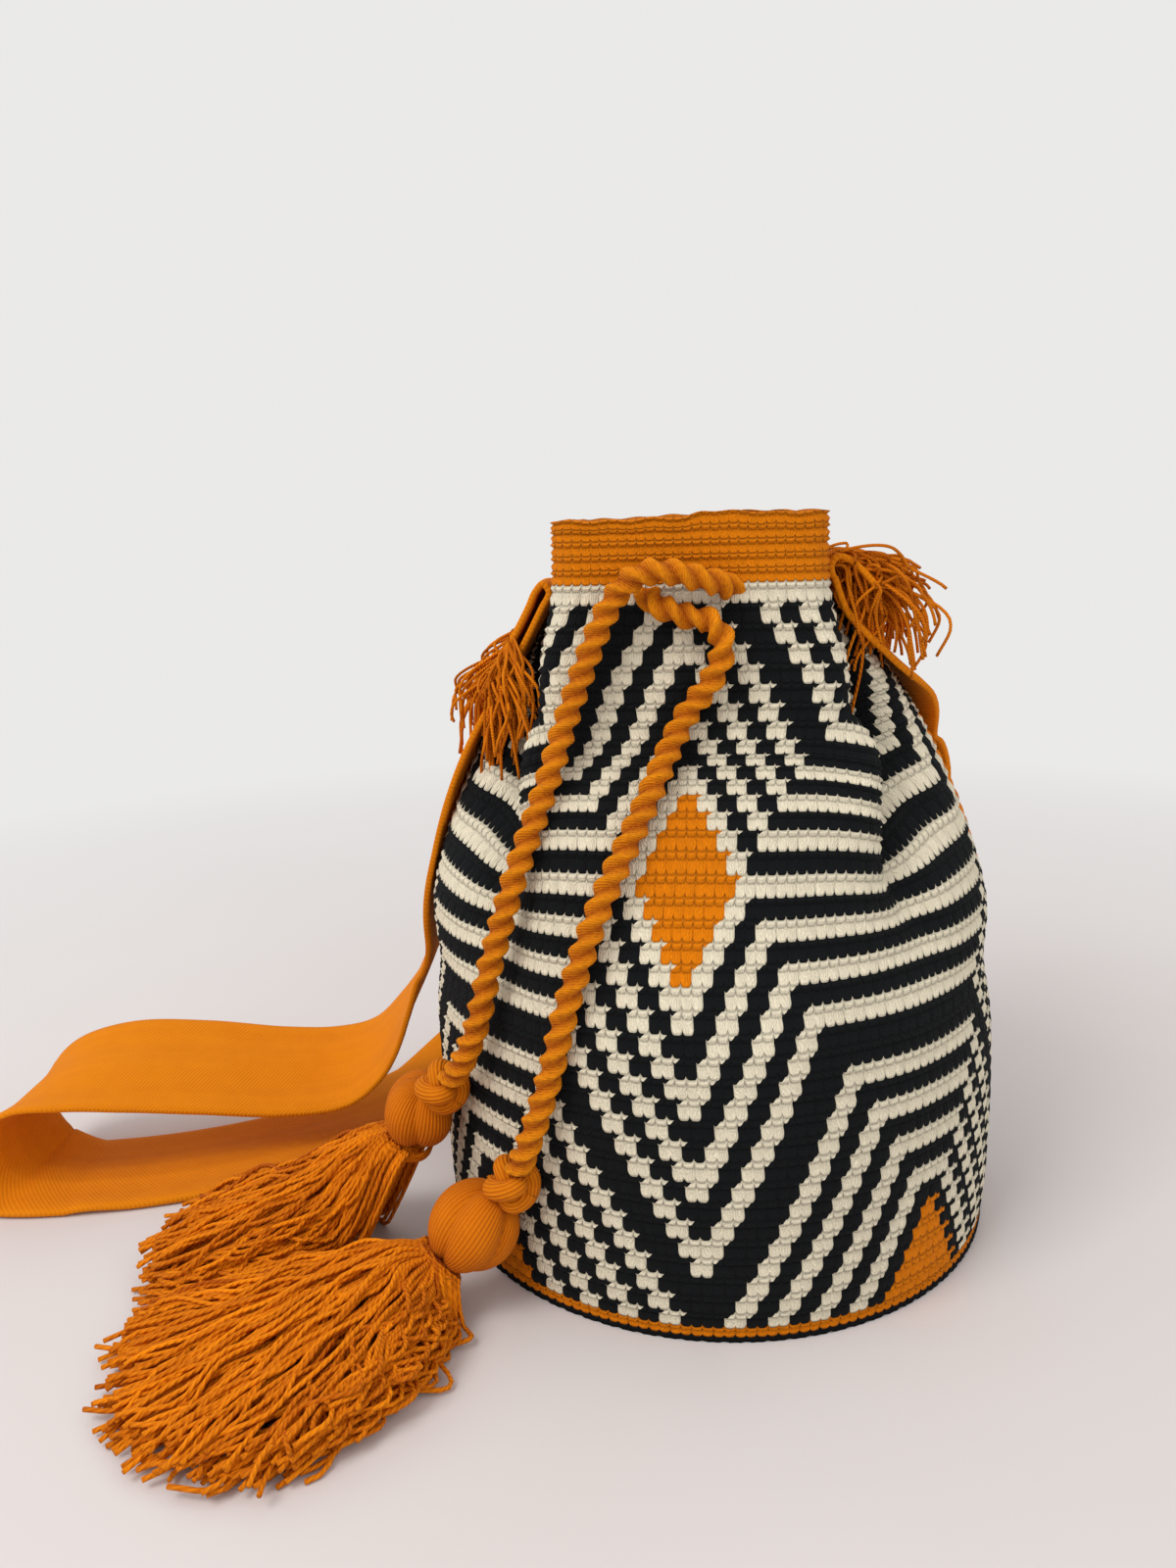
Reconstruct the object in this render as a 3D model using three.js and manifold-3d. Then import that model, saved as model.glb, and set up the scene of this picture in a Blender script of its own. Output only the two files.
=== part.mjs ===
import * as THREE from 'three';
import Module from 'manifold-3d';

// A crocheted shoulder bag standing on its round base, mouth gathered by a drawcord.
// Millimetres, +Z up, the table at z = 0, the viewer on the -Y side, right hand = +X.

// Driving sizes
const BAG_HEIGHT = 270;
const WALL = 4;              // two-ply yarn worked in tight single crochet
const BASE_RADIUS = 103.5;
const NECK_SHIFT = -7.5;     // the gathered neck leans a little to the left
const EYELET_HEIGHT = 244;   // the cord runs through the first pale row under the rim
const CORD = 10.5;           // two-strand laid cord
const STRAP_WIDTH = 56;
const STRAP_THICK = 2.6;
const HEAD_FRONT = 31;       // tassel head, across
const HEAD_REAR = 28;
const FIT = 0.3;             // the small gap left between touching pieces
const EYELET_SLACK = 0.45;   // opening round the cord

// Outline of the outer skin, one quarter of the bag from the front centre (0, -y) to
// the right side (x, 0). Below: a round pouch. Above: gathered into four broad pleats.
const ROUND = [
  [0, BASE_RADIUS], [4, 105], [12, 106], [35, 107], [60, 107.5], [85, 107], [105, 104.5],
];
const PLEATED = [
  [124, [0, -94, 32, -91.5, 54, -82, 64, -73, 72, -65, 88, -52, 101, -29, 106, 0]],
  [148, [0, -82, 32, -81, 54, -73, 61, -63, 62, -54, 79, -47, 95, -29, 100, 0]],
  [170, [0, -70, 34, -69.5, 56, -64, 61, -54, 50, -42, 65, -34, 85, -27, 92, 0]],
  [190, [0, -52, 34, -52, 57, -50, 60, -43, 40, -29, 53, -23, 75, -21, 82.5, 0]],
  [213, [0, -46.5, 30, -46.5, 50, -45, 53, -38, 21, -16, 20, -11, 40, -15.5, 61, -19, 68, 0]],
  [EYELET_HEIGHT, [0, -45, 26, -45, 43, -43.5, 47, -37, 17, -13, 15.5, -8, 28, -11, 43, -18,
    48, 0]],
  [BAG_HEIGHT, [0, -45.5, 26, -45.5, 42, -44, 46, -38, 17, -13.5, 15.5, -8, 28, -11, 42, -18,
    47, 0]],
];
const QUARTER_STEPS = 20;
const LEVELS = [0, 4, 12, 35, 60, 85, 105, 115, 124, 136, 148, 159, 170, 180, 190, 201, 213,
  228, 239, 249, 260, BAG_HEIGHT];

const wasm = await Module();
wasm.setup();

const part = new THREE.Group();
part.name = 'wayuu_mochila_bag';

const ORANGE = 0xdb8212;
const TASSEL = 0xd8780e;
const STRAP = 0xdb840f;

function addNode(name, geometry, colour, roughness) {
  const material = new THREE.MeshStandardMaterial({ color: colour, roughness, metalness: 0 });
  const mesh = new THREE.Mesh(geometry, material);
  mesh.name = name;
  part.add(mesh);
}

// One closed skin over a row of rings of the same count; closed joins last ring to first.
function loft(rings, closed = false) {
  const n = rings[0].length;
  const position = [];
  const index = [];
  for (const ring of rings) {
    for (const p of ring) position.push(p.x, p.y, p.z);
  }
  const last = rings.length - 1;
  for (let i = 0; i < (closed ? rings.length : last); i++) {
    const next = ((i + 1) % rings.length) * n;
    for (let k = 0; k < n; k++) {
      const a = i * n + k;
      const b = i * n + ((k + 1) % n);
      index.push(a, b, next + ((k + 1) % n), a, next + ((k + 1) % n), next + k);
    }
  }
  const ends = closed ? [] : [[rings[0], 0, true], [rings[last], last * n, false]];
  for (const [ring, first, flip] of ends) {
    const middle = new THREE.Vector3();
    for (const p of ring) middle.add(p);
    middle.divideScalar(n);
    const centre = position.length / 3;
    position.push(middle.x, middle.y, middle.z);
    for (let k = 0; k < n; k++) {
      const a = first + k;
      const b = first + ((k + 1) % n);
      if (flip) index.push(centre, b, a);
      else index.push(centre, a, b);
    }
  }
  // Rings may run either way round: turn every face outwards.
  let volume = 0;
  const at = (i) => new THREE.Vector3(...position.slice(3 * i, 3 * i + 3));
  for (let i = 0; i < index.length; i += 3) {
    volume += at(index[i]).dot(at(index[i + 1]).cross(at(index[i + 2])));
  }
  if (volume < 0) index.reverse();
  const geometry = new THREE.BufferGeometry();
  geometry.setAttribute('position', new THREE.Float32BufferAttribute(position, 3));
  geometry.setIndex(index);
  geometry.computeVertexNormals();
  return geometry;
}

// Smooth curve through hand-chosen points.
function curveThrough(points) {
  const list = points.map((p) => new THREE.Vector3(p[0], p[1], p[2]));
  return new THREE.CatmullRomCurve3(list, false, 'centripetal');
}

// The crocheted bag body, one piece from the base to the rim.
// A quarter outline, spaced evenly along its length as the stitches are.
function quarterOutline(flat) {
  const points = [];
  for (let i = 0; i < flat.length; i += 2) points.push([flat[i], flat[i + 1], 0]);
  const before = [-points[1][0], points[1][1], 0];
  const after = [points[points.length - 2][0], -points[points.length - 2][1], 0];
  const curve = curveThrough([before, ...points, after]);
  curve.arcLengthDivisions = 800;
  const lengths = curve.getLengths();
  const total = lengths[lengths.length - 1];
  const spans = points.length + 1;
  const u0 = lengths[Math.round(800 / spans)] / total;
  const u1 = lengths[Math.round((800 * (spans - 1)) / spans)] / total;
  const out = [];
  for (let k = 0; k <= QUARTER_STEPS; k++) {
    const p = curve.getPointAt(u0 + ((u1 - u0) * k) / QUARTER_STEPS);
    out.push([p.x, p.y]);
  }
  out[0][0] = 0;
  out[QUARTER_STEPS][1] = 0;
  return out;
}

const stations = [];
for (const [z, r] of ROUND) {
  const outline = [];
  for (let k = 0; k <= QUARTER_STEPS; k++) {
    const a = (Math.PI / 2) * (k / QUARTER_STEPS);
    outline.push([r * Math.sin(a), -r * Math.cos(a)]);
  }
  stations.push({ z, outline });
}
for (const [z, flat] of PLEATED) stations.push({ z, outline: quarterOutline(flat) });

function slope(k, i, c) {
  const last = stations.length - 1;
  const at = (j) => stations[j].outline[i][c];
  const gap = (j) => stations[j + 1].z - stations[j].z;
  if (k === 0) return (at(1) - at(0)) / gap(0);
  if (k === last) return (at(last) - at(last - 1)) / gap(last - 1);
  const d0 = (at(k) - at(k - 1)) / gap(k - 1);
  const d1 = (at(k + 1) - at(k)) / gap(k);
  return (d0 * gap(k) + d1 * gap(k - 1)) / (gap(k) + gap(k - 1));
}

function smooth(u) {
  const c = Math.min(1, Math.max(0, u));
  return c * c * (3 - 2 * c);
}

// The lean of the neck: full for the middle pleats, half for the wide side pleats.
function shiftAt(x, z) {
  return NECK_SHIFT * smooth((z - 20) / 130) * (1 - 0.55 * smooth((Math.abs(x) - 45) / 25));
}

// The whole outer outline at a height, counter-clockwise seen from above.
function outlineAt(z) {
  let s = 0;
  while (s < stations.length - 2 && z > stations[s + 1].z) s++;
  const h = stations[s + 1].z - stations[s].z;
  const t = (z - stations[s].z) / h;
  const quarter = [];
  for (let i = 0; i <= QUARTER_STEPS; i++) {
    const p = [0, 1].map((c) => (2 * t ** 3 - 3 * t ** 2 + 1) * stations[s].outline[i][c]
      + (t ** 3 - 2 * t ** 2 + t) * h * slope(s, i, c)
      + (3 * t ** 2 - 2 * t ** 3) * stations[s + 1].outline[i][c]
      + (t ** 3 - t ** 2) * h * slope(s + 1, i, c));
    quarter.push(p);
  }
  const q = QUARTER_STEPS;
  const ring = [];
  for (let i = 0; i < q; i++) ring.push([quarter[i][0], quarter[i][1]]);
  for (let i = 0; i < q; i++) ring.push([quarter[q - i][0], -quarter[q - i][1]]);
  for (let i = 0; i < q; i++) ring.push([-quarter[i][0], -quarter[i][1]]);
  for (let i = 0; i < q; i++) ring.push([-quarter[q - i][0], quarter[q - i][1]]);
  return ring.map(([x, y]) => [x + shiftAt(x, z), y]);
}

function ringAt(z, inset, height) {
  const ring = outlineAt(z);
  const n = ring.length;
  return ring.map(([x, y], k) => {
    const [ax, ay] = ring[(k + n - 1) % n];
    const [bx, by] = ring[(k + 1) % n];
    const l = Math.hypot(bx - ax, by - ay);
    return new THREE.Vector3(x - (inset * (by - ay)) / l, y + (inset * (bx - ax)) / l, height);
  });
}

const bodyRings = [];
for (const z of LEVELS) bodyRings.push(ringAt(z, 0, z));
for (const z of [...LEVELS].reverse()) {
  if (z >= WALL) bodyRings.push(ringAt(z, WALL, z));
}
const bodyShell = loft(bodyRings);

// The drawcord: one length, round the neck through the eyelets, half knotted in front.
const CORD_ROUTE = [
  // left end, up the left tail from its tassel
  [-92, -74.8, 77], [-87, -80, 84], [-79, -85, 103], [-74, -82.5, 123],
  [-66, -78.5, 150], [-55.3, -66, 180.8], [-47.5, -56.5, 206], [-37.5, -54, 232],
  // over the top of the half knot and in through the right eyelet
  [-31.5, -54.5, 243], [-24, -57, 249.5], [-15, -57.5, 250.5], [-6, -55.5, 248.5],
  [1, -52.5, 246.5], [6.5, -45.5, 244.5], [11, -38, 244],
  // round inside the pleats
  [18, -35.3, 244], [23, -32, 244], [26, -25, 244], [26, 0, 244], [26, 25, 244],
  [22, 33, 244], [12, 36, 244], [-7.5, 36.3, 244], [-27, 36, 244], [-37, 33, 244],
  [-41, 25, 244], [-41, 0, 244], [-41, -25, 244], [-38, -32, 244], [-33, -35.3, 244],
  // out through the left eyelet, under the first pass and down the right tail
  [-26, -38, 243.5], [-21.5, -45.5, 242], [-16, -51.3, 238.5], [-8, -51.8, 235.5],
  [0, -53, 233.5], [4, -53.8, 226], [0.5, -53.8, 215], [-8.5, -54.5, 202],
  [-22.8, -75, 172.9], [-36.6, -91, 144.2], [-46, -98.8, 117.1], [-53, -101, 90.4],
  [-61, -101, 66], [-65, -97.3, 55.8],
];
const cordCurve = curveThrough(CORD_ROUTE);
cordCurve.arcLengthDivisions = 2000;

function cordTube(radius, sides) {
  const shape = new THREE.Shape();
  for (let k = 0; k < sides; k++) {
    const a = (2 * Math.PI * k) / sides;
    if (k === 0) shape.moveTo(radius, 0);
    else shape.lineTo(radius * Math.cos(a), radius * Math.sin(a));
  }
  shape.closePath();
  return new THREE.ExtrudeGeometry(shape, {
    steps: 80, extrudePath: cordCurve, bevelEnabled: false, curveSegments: 1,
  });
}

// The eyelets are the openings the cord itself holds open in the wall.
function toManifold(geometry) {
  const source = geometry.index ? geometry.toNonIndexed() : geometry;
  const at = source.getAttribute('position');
  const seen = new Map();
  const vertices = [];
  const triangles = [];
  for (let i = 0; i < at.count; i++) {
    const p = [at.getX(i), at.getY(i), at.getZ(i)];
    const key = p.map((v) => Math.round(v * 1e4)).join(' ');
    if (!seen.has(key)) {
      seen.set(key, vertices.length / 3);
      vertices.push(...p);
    }
    triangles.push(seen.get(key));
  }
  const kept = [];
  for (let i = 0; i < triangles.length; i += 3) {
    const [a, b, c] = triangles.slice(i, i + 3);
    if (a !== b && b !== c && c !== a) kept.push(a, b, c);
  }
  return new wasm.Manifold(new wasm.Mesh({
    numProp: 3,
    vertProperties: new Float32Array(vertices),
    triVerts: new Uint32Array(kept),
  }));
}

function fromManifold(solid) {
  const mesh = solid.getMesh();
  const geometry = new THREE.BufferGeometry();
  geometry.setAttribute('position', new THREE.Float32BufferAttribute(mesh.vertProperties, 3));
  geometry.setIndex(Array.from(mesh.triVerts));
  geometry.computeVertexNormals();
  return geometry;
}

const sheath = toManifold(cordTube(CORD / 2 + EYELET_SLACK, 10));
const bodySolid = toManifold(bodyShell).subtract(sheath);
addNode('bag_body', fromManifold(bodySolid), 0x5a5348, 0.9);
addNode('drawcord', cordTube(CORD / 2, 10), ORANGE, 0.8);

// The strap: one long woven band, both ends sewn to the sides of the neck.
// Each station: middle of the band, then the way its outer face looks.
const LEAST = FIT + STRAP_THICK / 2;
function besideLeft(z, gap) {
  return Math.min(...outlineAt(z).map((p) => p[0])) - gap;
}
function besideRight(z, gap) {
  return Math.max(...outlineAt(z).map((p) => p[0])) + gap;
}
const FOLD = 2.9;            // middle of the turned-over end, out from the layer under it
const LEFT_TOP = 245;
const RIGHT_TOP = 251;
const STRAP_ROUTE = [
  // left end: a turned-down flap outside, then over and down the left pleat
  [besideLeft(218, LEAST + 6.6), 0, 218, 0.85, 0, -0.45],
  [besideLeft(229, LEAST + 6.4), 0, 229, 0.88, 0, -0.4],
  [besideLeft(238, LEAST + 6), 0, 238, 0.95, 0, -0.25],
  [besideLeft(LEFT_TOP, LEAST + 2.1 * FOLD), 0, LEFT_TOP - 2, 1, 0, 0],
  [besideLeft(LEFT_TOP, LEAST + 1.1 * FOLD), 0, LEFT_TOP + 0.9, 0, 0, -1],
  [besideLeft(LEFT_TOP, LEAST + 0.9), 0, LEFT_TOP - 2, -1, 0, 0],
  [besideLeft(238, LEAST + 1.2), 0, 237.5, -0.95, 0, 0.2],
  [besideLeft(226, LEAST + 1.2), 0, 226, -0.85, 0, 0.5],
  [besideLeft(213, LEAST + 1), 0.5, 213, -0.8, 0, 0.6],
  [besideLeft(190, LEAST + 0.9), 1.5, 190, -0.88, 0, 0.45],
  [besideLeft(170, LEAST + 1), 4, 170, -0.93, 0, 0.3],
  [besideLeft(148, LEAST + 1.2), 8, 148, -0.98, 0, 0.15],
  [besideLeft(126, LEAST + 3), 14, 126, -1, 0, 0],
  [-116, 24, 106, -1, 0, 0.05], [-121.5, 32, 88, -0.97, 0, 0.2], [-131, 35, 66, -0.9, -0.1, 0.42],
  // the loop that lies out to the left, folding under itself at its far end
  [-140.5, 35.5, 49, -0.78, -0.2, 0.58], [-151, 34, 36.5, -0.6, -0.25, 0.76],
  [-167, 29.5, 29.8, -0.15, -0.3, 0.94], [-190, 21, 31.2, 0.06, -0.3, 0.95],
  [-222, 8, 38.8, 0.2, -0.28, 0.94], [-250, -3.5, 44, 0.1, -0.27, 0.95],
  [-271, -12, 43.5, -0.2, -0.2, 0.95], [-287, -18.5, 36.5, -0.7, -0.05, 0.6],
  [-294.5, -22, 25, -1, 0.15, 0.15], [-292, -24.5, 12, -0.9, 0.2, -0.5],
  [-282, -25, 3.8, -0.4, 0.1, -0.9], [-264, -22.5, 1.6, 0, 0, -1],
  // back along the table and round behind the bag
  [-240, -16.5, 1.6, 0, 0, -1], [-216, -7.5, 1.6, 0, 0, -1], [-192, 5, 1.6, 0, 0, -1],
  [-168, 22, 1.6, 0, 0, -1], [-149, 42, 1.6, 0, 0, -1], [-133, 65, 1.8, 0, 0, -1],
  [-117, 90, 5, -0.1, 0.16, -0.97], [-94, 112, 18, -0.32, 0.5, -0.8],
  [-65, 124, 36, -0.36, 0.8, -0.45], [-31, 122, 57, -0.22, 0.95, -0.15],
  [5, 117, 79, 0.03, 1, 0], [38, 108, 102, 0.36, 0.93, 0.05], [63, 91, 126, 0.6, 0.8, 0.08],
  [77, 69, 148, 0.8, 0.58, 0.12], [81, 47, 170, 0.86, 0.5, 0.15],
  [72, 34.5, 191, 0.84, 0.5, 0.25],
  // up the right pleat, over, and a flap standing out
  [besideRight(212, LEAST + 0.8), 18, 211, 0.8, 0.33, 0.5],
  [besideRight(226, LEAST + 1.8), 5, 226, 0.85, 0.1, 0.45],
  [besideRight(238, LEAST + 1.2), 0, 238.5, 0.95, 0, 0.25],
  [besideRight(244, LEAST + 0.4), 0, RIGHT_TOP - 5, 1, 0, 0],
  [besideRight(RIGHT_TOP, LEAST + 1), 0, RIGHT_TOP - 0.6, 0.8, 0, -0.3],
  [besideRight(RIGHT_TOP, LEAST + 3.4), 0, RIGHT_TOP + 2.2, 0.1, 0, -1],
  [besideRight(RIGHT_TOP, LEAST + 7), 0, RIGHT_TOP + 1.2, -0.4, 0, -0.9],
  [besideRight(RIGHT_TOP, LEAST + 12), 0, RIGHT_TOP - 3, -0.62, 0, -0.78],
  [besideRight(RIGHT_TOP, LEAST + 17), 0, RIGHT_TOP - 8.6, -0.68, 0, -0.73],
];

function strapRings() {
  const middle = curveThrough(STRAP_ROUTE);
  const looks = new THREE.CatmullRomCurve3(
    STRAP_ROUTE.map((p) => new THREE.Vector3(p[3], p[4], p[5]).normalize()),
    false, 'catmullrom', 0.4,
  );
  const rings = [];
  const spans = STRAP_ROUTE.length - 1;
  for (let k = 0; k <= spans * 2; k++) {
    const t = k / (spans * 2);
    const p = middle.getPoint(t);
    const along = middle.getTangent(t);
    const w = new THREE.Vector3().crossVectors(along, looks.getPoint(t)).normalize();
    const n = new THREE.Vector3().crossVectors(w, along).normalize();
    const half = STRAP_WIDTH / 2;
    const ring = [[-1, -1], [-0.33, -1], [0.33, -1], [1, -1], [1, 1], [0.33, 1], [-0.33, 1],
      [-1, 1]].map(([a, b]) => p.clone().addScaledVector(w, a * half)
      .addScaledVector(n, (b * STRAP_THICK) / 2));
    // where the band turns up on its edge, that edge stands on the table
    const lowest = Math.min(...ring.map((q) => q.z));
    if (lowest < 0.15) for (const q of ring) q.z += 0.15 - lowest;
    rings.push(ring);
  }
  return rings;
}
addNode('strap', loft(strapRings()), STRAP, 0.85);

// Loose warp ends of the strap, a soft fringe at each sewn end.
// Each level is a bent slab: height, thickness, then the line its middle follows.
function bentSlab(levels) {
  return levels.map(([z, thick, line]) => {
    const outer = [];
    const inner = [];
    const n = line.length / 2;
    for (let i = 0; i < n; i++) {
      const j = Math.max(0, i - 1);
      const k = Math.min(n - 1, i + 1);
      const dx = line[2 * k] - line[2 * j];
      const dy = line[2 * k + 1] - line[2 * j + 1];
      const l = Math.hypot(dx, dy);
      const ox = ((thick / 2) * dy) / l;
      const oy = ((-thick / 2) * dx) / l;
      outer.push(new THREE.Vector3(line[2 * i] + ox, line[2 * i + 1] + oy, z));
      inner.unshift(new THREE.Vector3(line[2 * i] - ox, line[2 * i + 1] - oy, z));
    }
    return [...outer, ...inner];
  });
}
const HALF = STRAP_WIDTH / 2;
function fringeLine(z, out) {
  const x = besideLeft(z, out);
  return [x, HALF - 1, x, 9, x, -12, x + 0.5, 1 - HALF, x + 5, -HALF - 4.5,
    x + 14, -HALF - 7.5];
}
addNode('strap_fringe_left', loft(bentSlab([
  [216.9, 2.4, fringeLine(216, 9.9)], [209, 4, fringeLine(209, 9.6)],
  [200, 5, fringeLine(200, 9.7)], [190, 5, fringeLine(190, 9.5)], [180, 3, fringeLine(180, 8.6)],
])), TASSEL, 0.95);
const TIP = besideRight(RIGHT_TOP, LEAST + 17);
addNode('strap_fringe_right', loft(bentSlab([
  [RIGHT_TOP - 8, 2.4, [TIP + 2.6, 2 - HALF, TIP + 2.6, -9, TIP + 2.6, 9, TIP + 2.6, HALF - 2]],
  [RIGHT_TOP - 14, 6, [TIP + 6, -HALF - 2, TIP + 7, -9, TIP + 7, 9, TIP + 6, HALF - 1]],
  [RIGHT_TOP - 22, 8, [TIP + 10, -HALF - 5, TIP + 13, -10, TIP + 13, 10, TIP + 11, HALF - 1]],
  [RIGHT_TOP - 30, 7, [TIP + 13, -HALF - 5, TIP + 17, -10, TIP + 17, 10, TIP + 15, HALF - 3]],
  [RIGHT_TOP - 39, 3, [TIP + 16, -HALF - 2, TIP + 20, -9, TIP + 20, 8, TIP + 18, HALF - 8]],
])), TASSEL, 0.95);

// The two tassels: plaited knot under the cord end, round head, binding and skirt.
// A round body of rings set out along a line from one point towards another.
function turnedAlong(from, to, profile, sides) {
  const start = from.clone();
  const axis = to.clone().sub(start).normalize();
  const u = new THREE.Vector3(0, 0, 1).cross(axis).normalize();
  const v = new THREE.Vector3().crossVectors(axis, u);
  return profile.map(([d, r]) => {
    const ring = [];
    for (let k = 0; k < sides; k++) {
      const a = (2 * Math.PI * k) / sides;
      ring.push(start.clone().addScaledVector(axis, d)
        .addScaledVector(u, r * Math.cos(a)).addScaledVector(v, r * Math.sin(a)));
    }
    return ring;
  });
}

// A flat spread of threads: each ring runs from its left end to its right end.
function skirtRings(list) {
  return list.map(([lx, ly, rx, ry, z, h]) => {
    const middle = new THREE.Vector3((lx + rx) / 2, (ly + ry) / 2, z);
    const side = new THREE.Vector3((rx - lx) / 2, (ry - ly) / 2, 0);
    const ring = [];
    for (let k = 0; k < 16; k++) {
      const a = (2 * Math.PI * k) / 16;
      const low = Math.sin(a) < 0 ? 0.9 : 1;
      ring.push(new THREE.Vector3(0, 0, h * low * Math.sin(a)).add(middle)
        .addScaledVector(side, Math.cos(a)));
    }
    return ring;
  });
}

// A closed band round a line: the rings run down its outside and back up its inside.
function bandRound(from, to, length, inner, outer) {
  const rings = turnedAlong(from, to, [[0, outer], [length, outer], [length, inner], [0, inner]],
    16);
  return loft(rings, true);
}

const KNOT = 14.4;           // length of the plaited knot
const KNOT_PROFILE = [[0, 4.2], [0.11, 6.6], [0.35, 8.3], [0.64, 8.3], [0.89, 5.4], [1, 2.8]];
const NECK_RADIUS = 7.6;
const BINDING = 1.8;         // thread wound round the neck

function ballRings(centre, towards, size) {
  const profile = [];
  for (let k = 0; k <= 10; k++) {
    const a = Math.PI * (-0.47 + (0.94 * k) / 10);
    profile.push([(size / 2) * Math.sin(a), (size / 2) * Math.cos(a)]);
  }
  return turnedAlong(centre, towards, profile, 18);
}

// t is the end of the cord, 0 or 1; turn is the way the head hangs from the knot.
// The skirt's points were read beside a head of the size readAt; a larger one pushes them on.
function tassel(name, t, turn, headSize, neckTo, readAt, skirt) {
  const end = cordCurve.getPoint(t);
  const out = cordCurve.getTangent(t).multiplyScalar(t === 0 ? -1 : 1);
  const from = end.clone().addScaledVector(out, FIT);
  const knot = KNOT_PROFILE.map(([d, r]) => [d * KNOT, r]);
  addNode(`${name}_knot`, loft(turnedAlong(from, from.clone().add(out), knot, 14)), ORANGE, 0.85);
  // the head clears the flat tip of the knot by the same small gap, whichever way it hangs
  const hang = new THREE.Vector3(...turn).normalize();
  const tip = KNOT_PROFILE[KNOT_PROFILE.length - 1][1];
  const lean = out.angleTo(hang);
  const clear = FIT + headSize / 2;
  const reach = Math.sqrt(clear ** 2 - (tip * Math.cos(lean)) ** 2) + tip * Math.sin(lean);
  const centre = from.clone().addScaledVector(out, KNOT).addScaledVector(hang, reach);
  const neck = new THREE.Vector3(...neckTo);
  const down = neck.clone().sub(centre).normalize();
  addNode(`${name}_head`, loft(ballRings(centre, neck, headSize)), TASSEL, 0.9);
  const start = centre.clone().addScaledVector(down, headSize / 2 + FIT);
  const top = start.clone().addScaledVector(down, -1.5);
  addNode(`${name}_binding`, bandRound(top, top.clone().add(down), 4.6,
    NECK_RADIUS + FIT, NECK_RADIUS + FIT + BINDING), TASSEL, 0.85);
  const neckRings = turnedAlong(start, start.clone().add(down),
    [[0, NECK_RADIUS - 1.5], [1, NECK_RADIUS], [5, NECK_RADIUS]], 16);
  const push = down.clone().setZ(0).multiplyScalar(headSize - readAt);
  const spread = skirtRings(skirt).map((ring) => ring.map((p) => p.add(push)));
  addNode(`${name}_skirt`, loft([...neckRings, ...spread]), TASSEL, 0.95);
}

tassel('tassel_front', 1, [-0.72, -0.08, -0.69], HEAD_FRONT, [-97, -101, 17], 31, [
  [-112, -91, -96, -119, 14.2, 12.6], [-126, -85, -92, -130, 13.3, 13],
  [-148, -86, -91, -146, 10.3, 10], [-170, -88, -98, -162, 7.4, 7.2],
  [-188, -95, -107, -173, 5, 4.8], [-198, -112, -121, -178, 3.2, 3],
  [-193, -136, -143, -178, 2.4, 2.1], [-186, -154, -162, -173, 1.8, 1.4],
]);
tassel('tassel_rear', 0, [-0.55, 0.5, -0.67], HEAD_REAR, [-118, -55.5, 31], 28, [
  [-130, -41, -130, -69, 21, 11.4], [-144, -33, -144, -76, 15, 12],
  [-160, -35, -166, -84, 10, 9.5], [-177, -41, -187, -88, 6.6, 6.3],
  [-191, -49, -201, -90, 4.4, 4], [-203, -58, -208, -87, 3.2, 2.6],
]);

export default part;
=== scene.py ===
import bmesh
import bpy
import math
import numpy as np
from mathutils import Matrix, Vector


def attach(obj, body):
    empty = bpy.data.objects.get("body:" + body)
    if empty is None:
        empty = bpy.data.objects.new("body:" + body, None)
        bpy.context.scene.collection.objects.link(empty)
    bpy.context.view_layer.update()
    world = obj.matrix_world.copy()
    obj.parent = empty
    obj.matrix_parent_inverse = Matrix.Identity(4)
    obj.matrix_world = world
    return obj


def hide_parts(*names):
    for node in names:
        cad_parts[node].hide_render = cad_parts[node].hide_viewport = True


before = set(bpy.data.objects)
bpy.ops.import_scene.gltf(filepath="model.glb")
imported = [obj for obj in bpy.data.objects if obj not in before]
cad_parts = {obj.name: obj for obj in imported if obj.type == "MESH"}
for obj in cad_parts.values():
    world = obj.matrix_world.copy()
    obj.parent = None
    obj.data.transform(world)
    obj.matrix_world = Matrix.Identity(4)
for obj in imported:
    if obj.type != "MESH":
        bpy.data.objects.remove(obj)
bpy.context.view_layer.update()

# The viewpoint: an arm's length in front of the bag, just under the height of its rim,
# turned a little left, dipped towards the floor and held slightly askew.
eye = (0, -0.4496, 0.266)
turned, dipped, askew = math.radians(6.13), math.radians(12.4), math.radians(-1.5)
upright = Vector((0, 0, 1))
ahead = Vector((-math.sin(turned), math.cos(turned), 0))
beside = Vector((math.cos(turned), math.sin(turned), 0))
look = ahead * math.cos(dipped) - upright * math.sin(dipped)
over = ahead * math.sin(dipped) + upright * math.cos(dipped)
rightwards = beside * math.cos(askew) + over * math.sin(askew)
upwards = over * math.cos(askew) - beside * math.sin(askew)
lens = bpy.data.cameras.new("viewpoint")
lens.sensor_width = 36
lens.lens = 27
lens.clip_start = 0.02
viewpoint = bpy.data.objects.new("viewpoint", lens)
bpy.context.scene.collection.objects.link(viewpoint)
facing_bag = Matrix((rightwards, upwards, -look)).transposed().to_4x4()
viewpoint.matrix_world = Matrix.Translation(eye) @ facing_bag
bpy.context.scene.camera = viewpoint
bpy.context.scene.view_settings.view_transform = "Standard"


# The crocheted bag: one piece worked round and round in tight single crochet from the
# middle of its base to the rim, black yarn with cream and orange carried along inside, so
# the pattern is in the stitches. Its mouth is gathered into four broad pleats.
mm = 0.001
curve_steps = 24


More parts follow.
